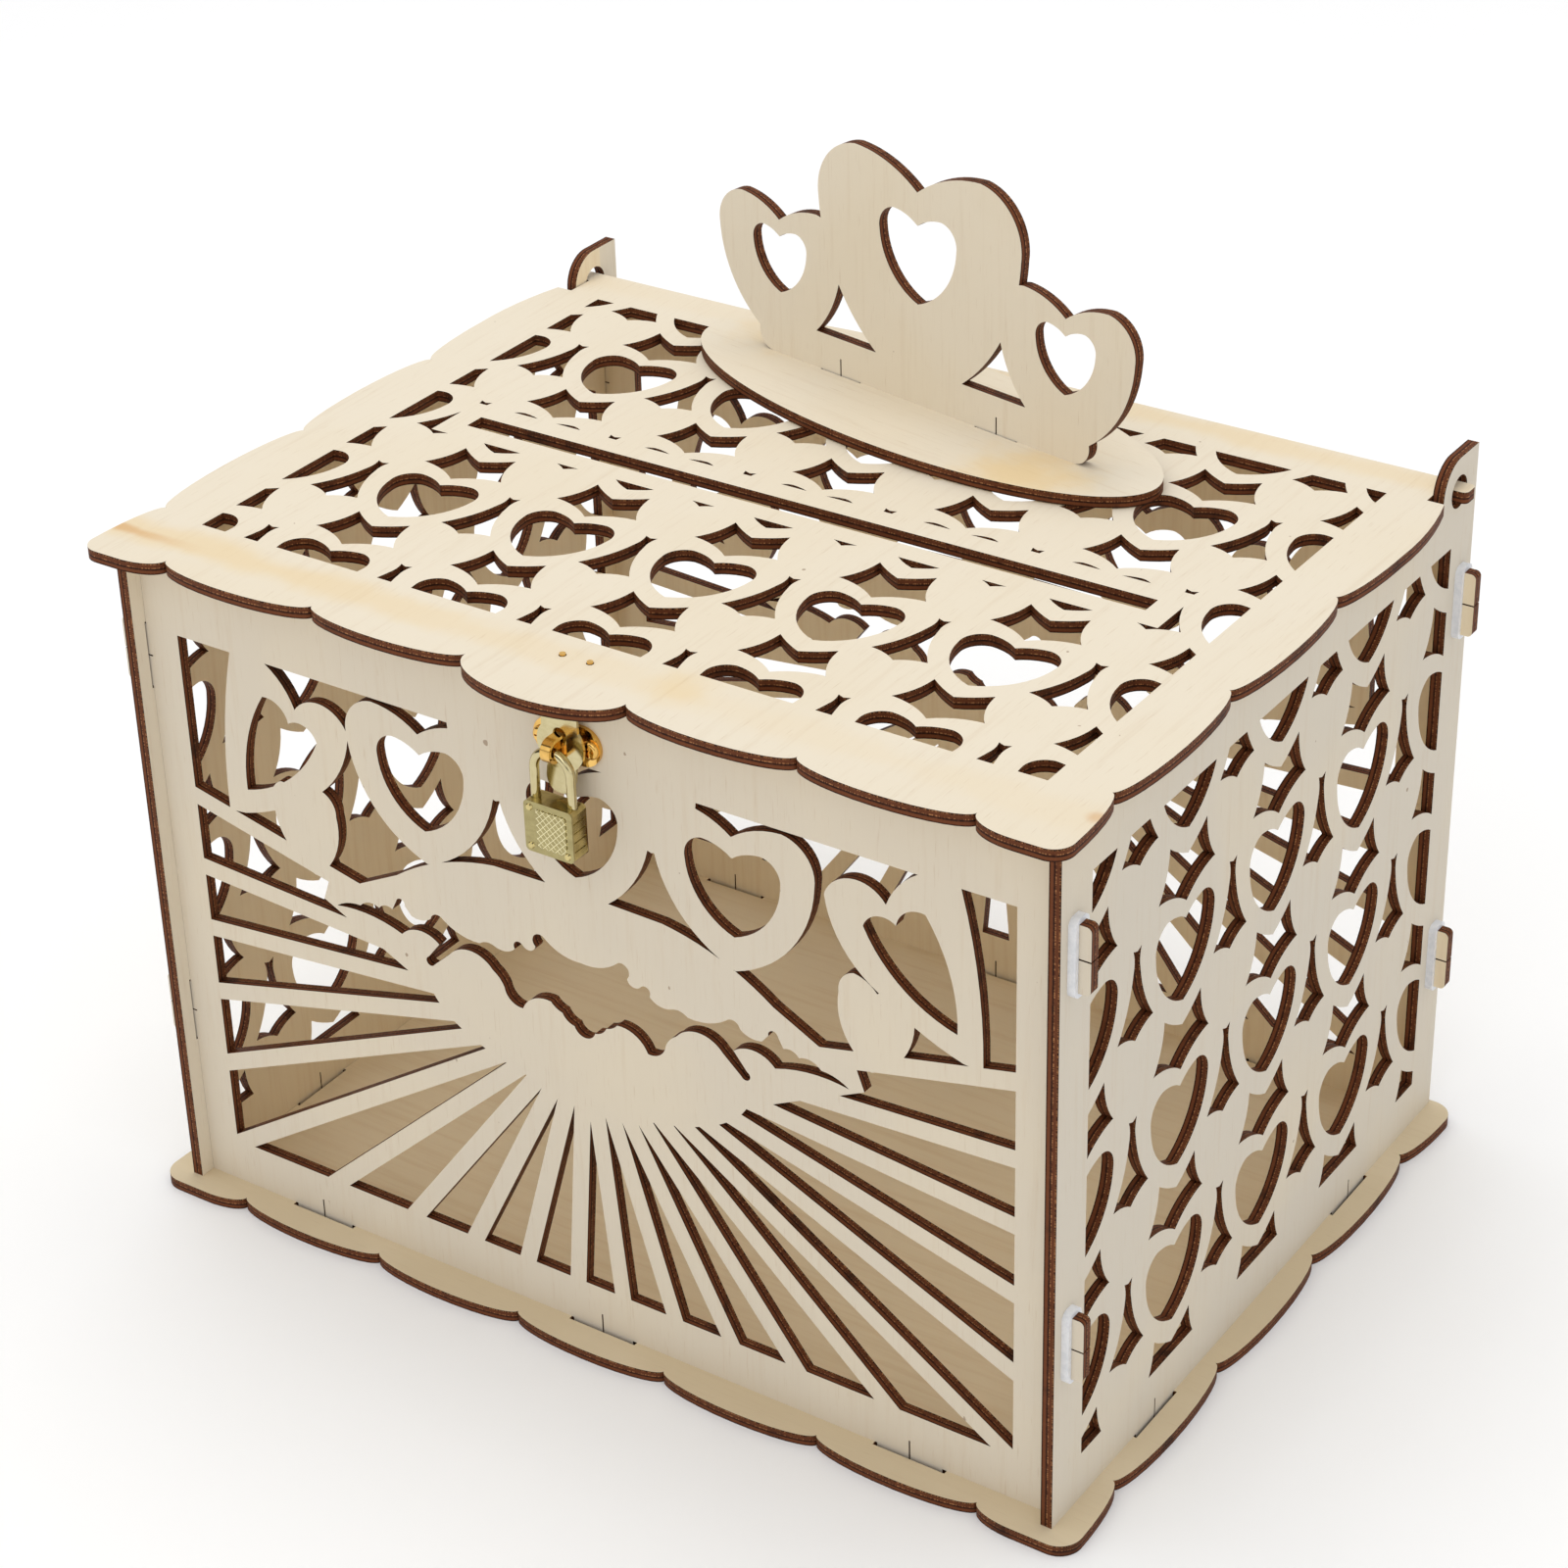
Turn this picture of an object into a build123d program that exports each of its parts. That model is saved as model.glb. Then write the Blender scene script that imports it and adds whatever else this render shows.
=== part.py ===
from build123d import *
import os

# Wedding card box: a laser-cut plywood kit with a hinged lid, a hasp with a
# small padlock and a loose upright sign of hearts.  Millimetres, +Z up, front is -Y.

# ---- driving dimensions -------------------------------------------------
PLY = 3.0              # plywood thickness everywhere
FRONT = -93.75         # Y of the side walls' front edges
DEPTH = 199.0          # length of the side walls
HALF_IN = 127.0        # inner face of the side walls
HALF_OUT = HALF_IN + PLY
FLOOR = PLY            # top of the base plate
WALL_TOP = 180.5       # front and back walls, above the floor
SIDE_TOP = 182.1       # side walls, above the floor
LID_UNDER = 182.4      # underside of the lid, above the floor
FRONT_FACE = 4.3       # front face of the front wall, behind FRONT
BACK_FACE = 191.7      # front face of the back wall, behind FRONT
FIT = 0.4              # play round a tab in its slot

TAB_X = (-89.0, 0.0, 89.0)      # floor tabs of the front and back walls
TAB_Z = (50.0, 153.0)           # side tabs of the front and back walls
TAB_Y = (48.3, 150.7)           # floor tabs of the side walls
TAB_LONG = 18.0
SIDE_TAB_LONG = 17.0
SIDE_TAB_END = 134.9
KERF = 0.4

PIVOT_Y = 188.9        # lid pegs turn here, behind FRONT
PIVOT_Z = LID_UNDER + PLY / 2
EAR_Y = 180.5
EAR_TOP = 193.0
EAR_HOLE = 8.5

HASP_X = 0.6
HASP_Z = 166.8
KNUCKLE_Y = 0.6
KNUCKLE_Z = 180.3
WIRE = 2.3             # shackle wire
WIRE_Y = -2.4
LEG = 5.1
CROWN_Z = 166.9        # middle of the wire at the top of the shackle
LOCK_TOP = 154.3
LOCK_TALL = 13.2
LOCK_WIDE = 13.5
LOCK_CORE = 4.5
COVER = 0.5

SIGN_Y = 158.0
SIGN_X = -2.0
SIGN_YAW = -11.0
SIGN_Z = LID_UNDER + PLY + 0.3

# Right half of a heart, from the notch round to the point at the origin.
HEART = ((0, 21.7), (4.3, 24.0), (8.3, 24.7), (12.2, 22.6), (13.5, 17.9), (9.3, 6.7), (0, 0))
RIM = ((0, 26.2), (5.5, 29.6), (12.2, 31.3), (18.6, 28.2), (20.5, 20.0), (16.0, 7.4), (0, -6.6))


def heart(half=HEART, size=1.0):
    """A filled heart: three arcs a side, mirrored."""
    p = [(x * size, y * size) for x, y in half]
    with BuildSketch() as shape:
        with BuildLine():
            ThreePointArc(p[0], p[1], p[2])
            ThreePointArc(p[2], p[3], p[4])
            ThreePointArc(p[4], p[5], p[6])
            mirror(about=Plane.YZ)
        make_face()
    return shape.sketch


def heart_lattice(x_range, y_range, middle, pitch, size, ring_tip, solid_tip):
    """Openings of a window filled with ring hearts and solid hearts in turn."""
    wide = x_range[1] - x_range[0]
    tall = y_range[1] - y_range[0]
    centre = ((x_range[0] + x_range[1]) / 2, (y_range[0] + y_range[1]) / 2)
    hole = heart(HEART, size)
    rim = heart(RIM, size)
    columns = range(-3, 4)
    rows = range(-1, 5)
    rings = [(middle + c * pitch[0], ring_tip + r * pitch[1])
             for c in columns for r in rows]
    solids = [(x + pitch[0] / 2, y - ring_tip + solid_tip) for x, y in rings]
    margin = 32 * size
    rings = [p for p in rings if abs(p[0] - centre[0]) < wide / 2 + margin
             and abs(p[1] - centre[1]) < tall / 2 + margin]
    solids = [p for p in solids if abs(p[0] - centre[0]) < wide / 2 + margin
              and abs(p[1] - centre[1]) < tall / 2 + margin]
    with BuildSketch() as holes:
        with Locations(centre):
            Rectangle(wide, tall)
        with Locations(*rings):
            add(rim, mode=Mode.SUBTRACT)
        with Locations(*solids):
            add(hole, mode=Mode.SUBTRACT)
        with Locations(*rings):
            add(hole)
        with Locations(centre):
            Rectangle(wide, tall, mode=Mode.INTERSECT)
    return holes.sketch


# ---- sunburst, shared by the front and back walls -------------------------
WINDOW = (117.0, 12.7, 161.0)            # half width, bottom, top above the floor
BURST = (0, 90)
RAY_WIDE = 4.8
RAY_ANGLES = (5, 16, 26.5, 36.6, 47, 56.2, 65.7, 75.2, 84.2, 93, 102.8)


def sunburst():
    """Window openings between the rays, the bank of cloud and the hill."""
    half, low, high = WINDOW
    with BuildSketch() as holes:
        with Locations((0, (low + high) / 2)):
            Rectangle(2 * half, high - low)
        with Locations(BURST):
            for angle in RAY_ANGLES:
                for side in (-1, 1):
                    Rectangle(230, RAY_WIDE, rotation=-90 + side * angle,
                              align=(Align.MIN, Align.CENTER), mode=Mode.SUBTRACT)
        with Locations((0, 88)):
            Ellipse(47, 20.7, mode=Mode.SUBTRACT)
        with BuildLine():
            Polyline((0, 84), (47, 84), (78, 99.5), (76, 105), (69, 106), (54, 113.8))
            ThreePointArc((54, 113.8), (41, 121.3), (24, 126))
            Line((24, 126), (0, 126.5))
            mirror(about=Plane.YZ)
        make_face(mode=Mode.SUBTRACT)
        with BuildLine():
            # top edge of the hill: puffs, a long lobe and a slit with a round end
            ThreePointArc((0, 86.3), (1.8, 86.9), (3, 88.6))
            ThreePointArc((3, 88.6), (5, 89.4), (6.4, 91.2))
            ThreePointArc((6.4, 91.2), (8.2, 91.9), (9.6, 93.2))
            ThreePointArc((9.6, 93.2), (14.8, 92.2), (18.2, 88.3))
            ThreePointArc((18.2, 88.3), (21.6, 89.2), (23.4, 92.4))
            ThreePointArc((23.4, 92.4), (24.7, 94.6), (26.6, 96.2))
            ThreePointArc((26.6, 96.2), (33.2, 99.4), (39.5, 96.3))
            Line((39.5, 96.3), (44.6, 91.6))
            ThreePointArc((44.6, 91.6), (46.7, 91.4), (46.2, 93.4))
            Line((46.2, 93.4), (42.6, 98))
            ThreePointArc((42.6, 98), (48, 100), (54, 97.2))
            ThreePointArc((54, 97.2), (64, 99.4), (74, 98.8))
            # under edge of the cloud, back to the middle
            ThreePointArc((74, 98.8), (70.5, 100.6), (66.5, 101.2))
            ThreePointArc((66.5, 101.2), (64, 102.8), (60.6, 102.4))
            ThreePointArc((60.6, 102.4), (58.8, 103.7), (56.4, 103.4))
            Line((56.4, 103.4), (55, 106.2))
            ThreePointArc((55, 106.2), (53.4, 107.2), (52.4, 105.6))
            Line((52.4, 105.6), (50.6, 103.4))
            ThreePointArc((50.6, 103.4), (47.4, 103.2), (44.6, 104.6))
            ThreePointArc((44.6, 104.6), (43, 106.3), (40.8, 105.6))
            ThreePointArc((40.8, 105.6), (36.5, 103.3), (30, 102.6))
            ThreePointArc((30, 102.6), (27.8, 103.6), (25.4, 103.2))
            ThreePointArc((25.4, 103.2), (22, 103), (19.4, 104.6))
            ThreePointArc((19.4, 104.6), (18.9, 106.8), (17, 106.4))
            ThreePointArc((17, 106.4), (14.6, 105.7), (13.2, 107.4))
            ThreePointArc((13.2, 107.4), (12.9, 110.8), (10.8, 110.9))
            ThreePointArc((10.8, 110.9), (6, 107.9), (0, 107.2))
            mirror(about=Plane.YZ)
        make_face()
    return holes.sketch


def big_hearts(holes):
    """Leaning outline hearts in the top corners, with a slim solid heart below each."""
    slim = heart(((0, 20.5), (3.4, 22.8), (6.4, 23.4), (9.0, 21.4), (9.9, 17.0),
                  (7.6, 6.2), (0, -1)))
    with BuildSketch() as rim:
        with BuildLine():
            ThreePointArc((-106, 116), (-104.9, 138), (-100.5, 161))
            Polyline((-100.5, 161), (-100, 164), (-91, 164), (-90.5, 161.5))
            ThreePointArc((-90.5, 161.5), (-85.2, 157.2), (-81.5, 150.8))
            ThreePointArc((-81.5, 150.8), (-73, 154.6), (-65.5, 148.5))
            ThreePointArc((-65.5, 148.5), (-69.5, 137), (-80, 127))
            ThreePointArc((-80, 127), (-89, 121.3), (-101, 116.5))
            Line((-101, 116.5), (-106, 116))
        make_face()
        with BuildLine():
            ThreePointArc((-99.5, 123.5), (-97.6, 138.5), (-91.5, 151.5))
            ThreePointArc((-91.5, 151.5), (-86.8, 150.6), (-84, 146.3))
            ThreePointArc((-84, 146.3), (-79.4, 147.2), (-75.5, 143.5))
            ThreePointArc((-75.5, 143.5), (-84.6, 131.4), (-99.5, 123.5))
        make_face(mode=Mode.SUBTRACT)
    with BuildSketch() as result:
        add(holes)
        add(rim.sketch, mode=Mode.SUBTRACT)
        with Locations((2.8, 0)):
            add(mirror(rim.sketch, about=Plane.YZ, mode=Mode.PRIVATE), mode=Mode.SUBTRACT)
        for side in (-1, 1):
            with Locations((side * 80, 106.5)):
                add(slim, rotation=side * -5, mode=Mode.SUBTRACT)
    return result.sketch


def heart_row(holes):
    """A row of plain hearts above the hill, left standing in the upper window."""
    tall = heart(HEART, 1.62)
    inner = heart(HEART, 0.95)
    with BuildSketch() as result:
        add(holes)
        with Locations((-44, 120), (0, 121.5), (44, 120)):
            add(tall, mode=Mode.SUBTRACT)
        with Locations((-44, 129), (0, 130.5), (44, 129)):
            add(inner)
        with Locations((-22, 144), (22, 144)):
            add(inner, mode=Mode.SUBTRACT)
        half, low, high = WINDOW
        with Locations((0, (low + high) / 2)):
            Rectangle(2 * half, high - low, mode=Mode.INTERSECT)
    return result.sketch


def cross_wall():
    """Outline of the front and back walls with their split tabs."""
    with BuildSketch() as shape:
        with Locations((0, WALL_TOP / 2)):
            Rectangle(2 * (HALF_IN - 0.05), WALL_TOP)
        with Locations(*[(x, 0) for x in TAB_X]):
            Rectangle(TAB_LONG, 2 * PLY)
        for z in TAB_Z:
            with Locations((SIDE_TAB_END - 10, z), (10 - SIDE_TAB_END, z)):
                RectangleRounded(20, SIDE_TAB_LONG, 1.3)
            with Locations((SIDE_TAB_END, z), (-SIDE_TAB_END, z)):
                Rectangle(18, KERF, mode=Mode.SUBTRACT)
        with Locations(*[(x, 0) for x in TAB_X]):
            Rectangle(KERF, 3 * PLY, mode=Mode.SUBTRACT)
    return shape.sketch


def side_wall():
    """Outline of a side wall with the hinge ear, drawn from its front edge."""
    with BuildSketch() as shape:
        with BuildLine():
            corner = (EAR_Y + EAR_HOLE, EAR_TOP - EAR_HOLE)
            Polyline((EAR_Y, corner[1]), (EAR_Y, SIDE_TOP), (0, SIDE_TOP), (0, 0),
                     (DEPTH, 0), (DEPTH, EAR_TOP), (corner[0], EAR_TOP))
            CenterArc(corner, EAR_HOLE, 90, 90)
        make_face()
        with Locations(*[(y, 0) for y in TAB_Y]):
            Rectangle(TAB_LONG, 2 * PLY)
        with Locations(*[(y, 0) for y in TAB_Y]):
            Rectangle(KERF, 3 * PLY, mode=Mode.SUBTRACT)
        with Locations((PIVOT_Y + 0.3, PIVOT_Z)):
            Circle(EAR_HOLE / 2, mode=Mode.SUBTRACT)
        for face in (FRONT_FACE, BACK_FACE):
            with Locations(*[(face + PLY / 2, z) for z in TAB_Z]):
                Rectangle(PLY + 2 * FIT, SIDE_TAB_LONG + 3 * FIT, mode=Mode.SUBTRACT)
    return shape.sketch


HOLE_HEARTS_SIDE = heart_lattice((13, 186.7), (13, 169.7), 99.5, (44, 45.05), 1.0,
                                 23.4, 3.2)
HOLE_HEARTS_LID = heart_lattice((-116.8, 116.8), (16.7, 176.7), 0, (40.6, 41.5), 0.9225,
                                1.8, 24.6 - 41.5)
RAYS = big_hearts(sunburst())
CROSS_HOLES = heart_row(RAYS)
CROSS_WALL = cross_wall()
SIDE_WALL = side_wall()

with BuildLine() as base_half:
    EllipticalCenterArc((0, -1), 22.15, 4, 270, arc_size=90)
    EllipticalCenterArc((44.3, -1), 22.15, 4, 180, arc_size=180)
    EllipticalCenterArc((88.6, -1), 22.15, 4, 180, arc_size=180)
    EllipticalCenterArc((121.5, -1), 10.75, 4, 180, arc_size=90)
    Line((121.5, -5), (131.3, -5))
    CenterArc((131.3, 1), 6, 270, 90)
    EllipticalCenterArc((133.4, 1), 3.9, 21, 0, arc_size=90)
    for low in (22.0, 72.4, 122.8):
        EllipticalCenterArc((133.4, low + 25.2), 3.9, 25.2, 270, arc_size=180)
    EllipticalCenterArc((133.4, 194), 3.9, 20.8, 270, arc_size=90)
    CenterArc((131.3, 194), 6, 0, 90)
    Line((131.3, 200), (121.5, 200))
    EllipticalCenterArc((121.5, 196), 10.75, 4, 90, arc_size=90)
    EllipticalCenterArc((88.6, 196), 22.15, 4, 0, arc_size=180)
    EllipticalCenterArc((44.3, 196), 22.15, 4, 0, arc_size=180)
    EllipticalCenterArc((0, 196), 22.15, 4, 0, arc_size=90)

with BuildSketch() as base_outline:
    with BuildLine():
        add(base_half.line)
        mirror(about=Plane.YZ)
    make_face()
    for face in (FRONT_FACE, BACK_FACE):
        with Locations(*[(x + 0.3, face + PLY / 2 - 0.3) for x in TAB_X]):
            Rectangle(TAB_LONG + 1.8, PLY + 1.6, mode=Mode.SUBTRACT)
    for x in (HALF_IN + PLY / 2, -HALF_IN - PLY / 2):
        with Locations(*[(x, y - 0.3) for y in TAB_Y]):
            Rectangle(PLY + 1.6, TAB_LONG + 1.8, mode=Mode.SUBTRACT)

with BuildLine() as lid_half:
    EllipticalCenterArc((0, -2.1), 22.2, 10.4, 270, arc_size=90)
    EllipticalCenterArc((44.45, -2.1), 22.25, 4.9, 180, arc_size=180)
    EllipticalCenterArc((88.9, -2.1), 22.2, 4.9, 180, arc_size=180)
    EllipticalCenterArc((122.1, -2.1), 11, 5.2, 180, arc_size=90)
    Line((122.1, -7.3), (129.3, -7.3))
    CenterArc((129.3, -2.3), 5, 270, 90)
    EllipticalCenterArc((130.5, -2.3), 3.8, 21.7, 0, arc_size=90)
    EllipticalCenterArc((130.5, 45.1), 4, 25.7, 270, arc_size=180)
    EllipticalCenterArc((130.5, 96.45), 4, 25.65, 270, arc_size=180)
    EllipticalCenterArc((130.5, 148), 4, 25.9, 270, arc_size=90)
    ThreePointArc((134.5, 148), (134.0, 163.5), (131.2, 178))
    Polyline((131.2, 178), (HALF_IN - 0.3, 178), (HALF_IN - 0.3, 186.2), (131.8, 186.2))
    ThreePointArc((131.8, 186.2), (132.86, 186.64), (133.3, 187.7))
    Line((133.3, 187.7), (133.3, 190.1))
    ThreePointArc((133.3, 190.1), (132.86, 191.16), (131.8, 191.6))
    Line((131.8, 191.6), (0, 191.6))

with BuildSketch() as lid_outline:
    with BuildLine():
        add(lid_half.line)
        mirror(about=Plane.YZ)
    make_face()
    add(HOLE_HEARTS_LID, mode=Mode.SUBTRACT)
    with Locations((0, 97.25)):
        Rectangle(207, 18.5)
    with Locations((0, 97.1)):
        Rectangle(194, 5.8, mode=Mode.SUBTRACT)
    with Locations((HASP_X - 3.8, 8.6), (HASP_X + 3.8, 8.6)):
        Circle(0.9, mode=Mode.SUBTRACT)


# ---- plywood parts --------------------------------------------------------
def lay(height):
    """Horizontal plane at this height above the floor, Y counted from the front."""
    return Plane((0, FRONT, FLOOR + height))


def across(y):
    """Upright plane facing the front, this far behind the front edges."""
    return Plane((0, FRONT + y, FLOOR), x_dir=(1, 0, 0), z_dir=(0, -1, 0))


def along(x):
    """Upright plane facing right at this X; sketch x runs to the back."""
    return Plane((x, FRONT, FLOOR), x_dir=(0, 1, 0), z_dir=(1, 0, 0))


with BuildPart() as base_plate:
    with BuildSketch(lay(-PLY)):
        add(base_outline.sketch)
    extrude(amount=PLY)

with BuildPart() as front_panel:
    with BuildSketch(across(FRONT_FACE)):
        add(CROSS_WALL)
        add(CROSS_HOLES, mode=Mode.SUBTRACT)
        with Locations((HASP_X - 6.7, HASP_Z), (HASP_X + 6.7, HASP_Z)):
            Circle(1.2, mode=Mode.SUBTRACT)
    extrude(amount=-PLY)

with BuildPart() as back_panel:
    with BuildSketch(across(BACK_FACE)):
        add(CROSS_WALL)
        add(CROSS_HOLES, mode=Mode.SUBTRACT)
    extrude(amount=-PLY)

with BuildPart() as right_panel:
    with BuildSketch(along(HALF_IN)):
        add(SIDE_WALL)
        add(HOLE_HEARTS_SIDE, mode=Mode.SUBTRACT)
    extrude(amount=PLY)

with BuildPart() as left_panel:
    with BuildSketch(along(-HALF_OUT)):
        add(SIDE_WALL)
        add(HOLE_HEARTS_SIDE, mode=Mode.SUBTRACT)
    extrude(amount=PLY)

with BuildPart() as lid_panel:
    with BuildSketch(lay(LID_UNDER)):
        add(lid_outline.sketch)
    extrude(amount=PLY)


# ---- silicone rings stretched round the side tabs ---------------------------
def tab_ring(x, y, z):
    """A flat racetrack ring against the outer face of a side wall."""
    with BuildPart() as ring:
        with BuildSketch(Plane((x, FRONT + y, FLOOR + z), x_dir=(0, 1, 0), z_dir=(1, 0, 0))):
            RectangleRounded(PLY + 2.7, SIDE_TAB_LONG + 2.7, 2.0)
            Rectangle(PLY + 0.1, SIDE_TAB_LONG + 0.1, mode=Mode.SUBTRACT)
        extrude(amount=1.9)
    return ring.part


rings = {}
for side, x in (("left", -HALF_OUT - 1.9), ("right", HALF_OUT)):
    for end, y in (("front", FRONT_FACE + PLY / 2), ("back", BACK_FACE + PLY / 2)):
        for level, z in (("lower", TAB_Z[0]), ("upper", TAB_Z[1])):
            rings[f"ring_{side}_{end}_{level}"] = tab_ring(x, y, z)


# ---- hasp -------------------------------------------------------------------
KNUCKLE = 1.5
with BuildPart() as hasp_hinge_plate:
    with BuildSketch(lay(LID_UNDER - 0.8)):
        with Locations((HASP_X, 7.3)):
            RectangleRounded(13, 10.4, 2.0)
        with Locations((HASP_X - 4.6, 3), (HASP_X + 4.6, 3)):
            Rectangle(3.6, 5)
        with Locations((HASP_X - 3.8, 8.6), (HASP_X + 3.8, 8.6)):
            Circle(0.9, mode=Mode.SUBTRACT)
    extrude(amount=0.8)
    for x in (HASP_X - 6.4, HASP_X + 2.8):
        with BuildSketch(Plane((x, FRONT + KNUCKLE_Y, FLOOR + KNUCKLE_Z), x_dir=(0, 1, 0),
                               z_dir=(1, 0, 0))):
            Circle(KNUCKLE)
            with Locations((1.5, KNUCKLE - 0.3)):
                Rectangle(3, 0.6)
        extrude(amount=3.6)
    with BuildSketch(Plane((HASP_X - 7, FRONT + KNUCKLE_Y, FLOOR + KNUCKLE_Z),
                           x_dir=(0, 1, 0), z_dir=(1, 0, 0))):
        Circle(0.65)
    extrude(amount=14, mode=Mode.SUBTRACT)

with BuildPart() as hasp_pin:
    with BuildSketch(Plane((HASP_X - 6.6, FRONT + KNUCKLE_Y, FLOOR + KNUCKLE_Z),
                           x_dir=(0, 1, 0), z_dir=(1, 0, 0))):
        Circle(0.6)
    extrude(amount=13.2)

TONGUE_Z = 161.0
with BuildPart() as hasp_leaf:
    with BuildSketch(Plane((HASP_X - 2.5, FRONT + KNUCKLE_Y, FLOOR + KNUCKLE_Z),
                           x_dir=(0, 1, 0), z_dir=(1, 0, 0))):
        Circle(KNUCKLE)
    extrude(amount=5)
    with BuildSketch(Plane((HASP_X, FRONT + 0.9, FLOOR), x_dir=(1, 0, 0), z_dir=(0, -1, 0))):
        with Locations((0, (KNUCKLE_Z + 167) / 2)):
            Rectangle(5, KNUCKLE_Z - 167)
        with Locations((0, (177.8 + 167) / 2)):
            Rectangle(10, 177.8 - 167)
        with Locations((0, 167)):
            Circle(6.5)
        with Locations((0, 163)):
            Rectangle(8, 4.0)
    extrude(amount=-0.8)
    with BuildSketch(Plane((HASP_X, FRONT + 0.9, FLOOR + TONGUE_Z + 0.1), x_dir=(1, 0, 0),
                           z_dir=(0, -1, 0.2))):
        with Locations((0, -0.8)):
            Rectangle(8, 2.0)
        with Locations((0, -1.8)):
            Circle(4)
    extrude(amount=-0.8)
    with BuildSketch(Plane((HASP_X, FRONT - 1, FLOOR + HASP_Z), x_dir=(1, 0, 0),
                           z_dir=(0, -1, 0))):
        with Locations((0, 0.4)):
            RectangleRounded(3.6, 8.8, 1.7)
    extrude(amount=-6, mode=Mode.SUBTRACT)
    with BuildSketch(Plane((HASP_X - 7, FRONT + KNUCKLE_Y, FLOOR + KNUCKLE_Z),
                           x_dir=(0, 1, 0), z_dir=(1, 0, 0))):
        Circle(0.65)
    extrude(amount=14, mode=Mode.SUBTRACT)


def screw(seat, head, dome, shank, length):
    """A cross-head screw: domed head outward of its plane, shank behind it."""
    with BuildPart() as part:
        with BuildSketch(seat):
            Circle(head)
        extrude(amount=dome)
        top = part.faces().sort_by(Axis(seat.origin, seat.z_dir))[-1]
        fillet(top.edges(), dome * 0.85)
        with BuildSketch(seat):
            Circle(shank)
        extrude(amount=-length)
        with BuildSketch(seat.offset(dome - 0.45)):
            Rectangle(head * 1.3, 0.4)
            Rectangle(0.4, head * 1.3)
        extrude(amount=1, mode=Mode.SUBTRACT)
    return part.part


hasp_screw_left = screw(Plane((HASP_X - 3.8, FRONT + 8.6, FLOOR + LID_UNDER - 0.8),
                              x_dir=(1, 0, 0), z_dir=(0, 0, -1)), 1.1, 0.8, 0.75, 4.3)
hasp_screw_right = screw(Plane((HASP_X + 3.8, FRONT + 8.6, FLOOR + LID_UNDER - 0.8),
                               x_dir=(1, 0, 0), z_dir=(0, 0, -1)), 1.1, 0.8, 0.75, 4.3)

# ---- staple on the front wall ------------------------------------------------
PLATE = 1.0
STAPLE_FACE = FRONT_FACE - PLATE
with BuildPart() as staple_plate:
    with BuildSketch(Plane((HASP_X, FRONT + FRONT_FACE, FLOOR + HASP_Z), x_dir=(1, 0, 0),
                           z_dir=(0, -1, 0))):
        SlotOverall(18.6, 10)
        with Locations((-6.7, 0), (6.7, 0)):
            Circle(1.3, mode=Mode.SUBTRACT)
    extrude(amount=PLATE)

LOOP_MID = HASP_Z + 0.5
with BuildPart() as staple_loop:
    with BuildSketch(Plane((HASP_X - 1.3, FRONT, FLOOR + LOOP_MID), x_dir=(0, 1, 0),
                           z_dir=(1, 0, 0))):
        with Locations((-1.95, 0)):
            Circle(3.0)
            Rectangle(STAPLE_FACE + 1.95, 6.0, align=(Align.MIN, Align.CENTER))
            Circle(2.2, mode=Mode.SUBTRACT)
            Rectangle(STAPLE_FACE + 1.95 - 0.6, 4.4, align=(Align.MIN, Align.CENTER),
                      mode=Mode.SUBTRACT)
    extrude(amount=2.6)

staple_screw_left = screw(Plane((HASP_X - 6.7, FRONT + STAPLE_FACE, FLOOR + HASP_Z),
                                x_dir=(1, 0, 0), z_dir=(0, -1, 0)), 2.4, 1.1, 1.1, 5.2)
staple_screw_right = screw(Plane((HASP_X + 6.7, FRONT + STAPLE_FACE, FLOOR + HASP_Z),
                                 x_dir=(1, 0, 0), z_dir=(0, -1, 0)), 2.4, 1.1, 1.1, 5.2)

# ---- padlock -----------------------------------------------------------------
LOCK = Plane((HASP_X, FRONT + WIRE_Y, FLOOR + LOCK_TOP - LOCK_TALL / 2), x_dir=(1, 0, 0),
             z_dir=(0, -1, 0))
BODY_TOP = Plane((HASP_X, FRONT + WIRE_Y, FLOOR + LOCK_TOP))
BODY_FOOT = Plane((HASP_X, FRONT + WIRE_Y, FLOOR + LOCK_TOP - LOCK_TALL))
LONG_LEG = 10.0
SHORT_LEG = 4.4

with BuildPart() as padlock_body:
    with BuildSketch(LOCK.offset(-LOCK_CORE / 2)):
        RectangleRounded(LOCK_WIDE, LOCK_TALL, 1.2)
        for level in (-3.6, -1.2, 1.2, 3.6):
            with Locations((LOCK_WIDE / 2, level), (-LOCK_WIDE / 2, level)):
                Rectangle(0.3, 0.5, mode=Mode.SUBTRACT)
    extrude(amount=LOCK_CORE)
    with BuildSketch(BODY_TOP):
        with Locations((-LEG, 0)):
            Circle(WIRE / 2 + 0.08)
    extrude(amount=-LONG_LEG - 1, mode=Mode.SUBTRACT)
    with BuildSketch(BODY_TOP):
        with Locations((LEG, 0)):
            Circle(WIRE / 2 + 0.08)
    extrude(amount=-SHORT_LEG - 0.6, mode=Mode.SUBTRACT)
    with BuildSketch(BODY_FOOT):
        Circle(1.75)
    extrude(amount=5, mode=Mode.SUBTRACT)

with BuildPart() as padlock_front_cover:
    with BuildSketch(LOCK.offset(LOCK_CORE / 2)):
        RectangleRounded(LOCK_WIDE, LOCK_TALL, 1.2)
        with Locations((-5.1, 5.0), (-5.1, -5.0), (5.1, -5.0)):
            Circle(0.55, mode=Mode.SUBTRACT)
    extrude(amount=COVER)
    with BuildSketch(LOCK.offset(LOCK_CORE / 2 + COVER)):
        with Locations((0.9, 0.4)):
            RectangleRounded(8.2, 9.0, 0.5)
    extrude(amount=0.25)

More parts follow.
